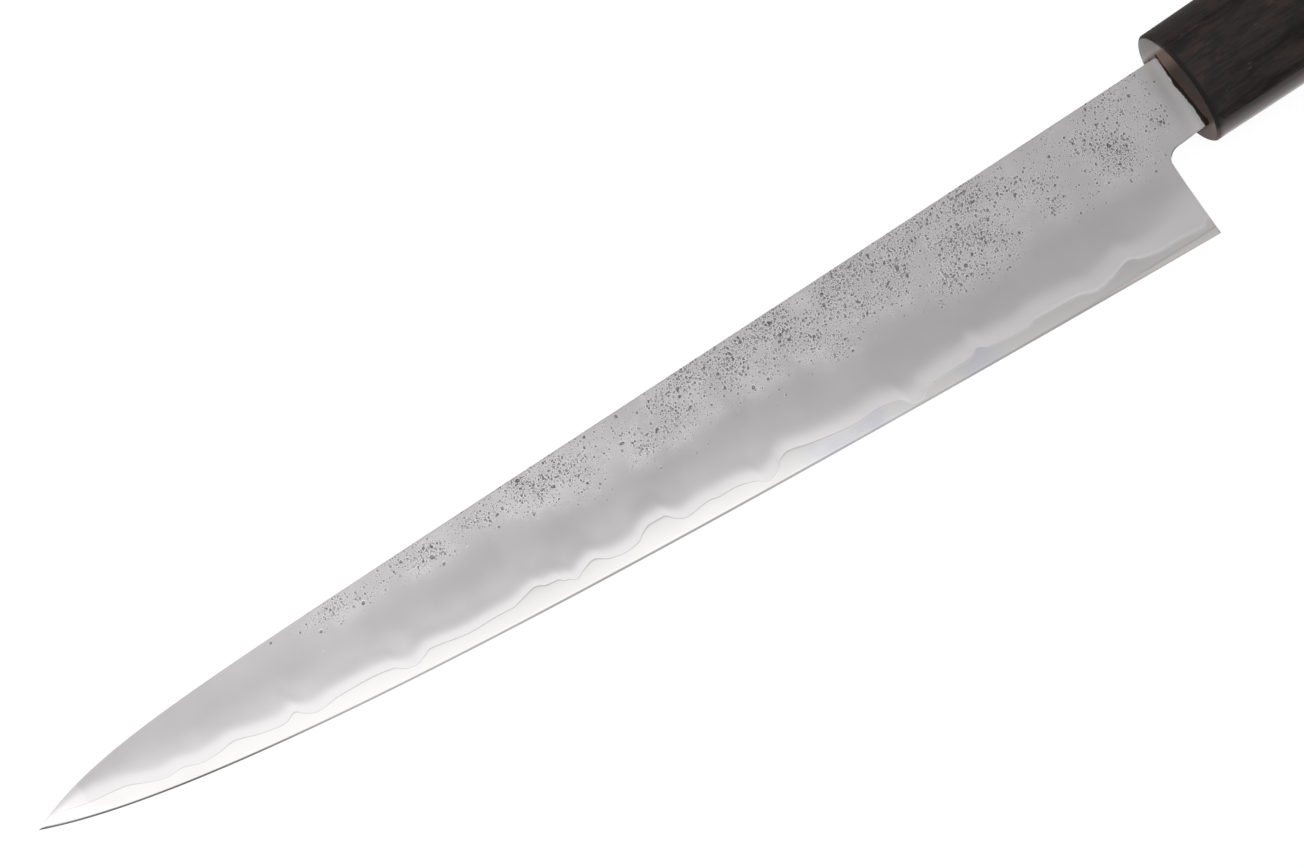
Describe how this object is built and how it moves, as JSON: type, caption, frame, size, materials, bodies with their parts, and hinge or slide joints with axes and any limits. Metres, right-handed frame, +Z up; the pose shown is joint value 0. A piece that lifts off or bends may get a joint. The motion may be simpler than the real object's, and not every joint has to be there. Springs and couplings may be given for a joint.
{
  "type": "sujihiki knife",
  "caption": "Long, narrow slicing knife with a three-layer convex-ground blade, a wavy cladding line above the edge, and a dark oval wooden handle on a hidden tang.",
  "frame": {"origin": "under the middle of the knife's length and height, level with the underside of the handle", "axes": "+X runs from the butt to the tip along the handle, +Y from the spine to the cutting edge, and +Z up, out of the left face of the blade"},
  "size_m": [0.3796, 0.041, 0.0212],
  "materials": {
    "core_steel": "polished, with a fine satin haze",
    "cladding_steel": "satin, pitted along the spine",
    "ferrule_wood": "oiled, satin",
    "body_wood": "oiled, satin",
    "bedding_resin": "cast"
  },
  "bodies": {
    "root": {"core_steel": "core_steel", "left_cladding": "cladding_steel", "right_cladding": "cladding_steel", "ferrule": "ferrule_wood", "handle_body": "body_wood", "tang_bedding": "bedding_resin"}
  },
  "joints": []
}
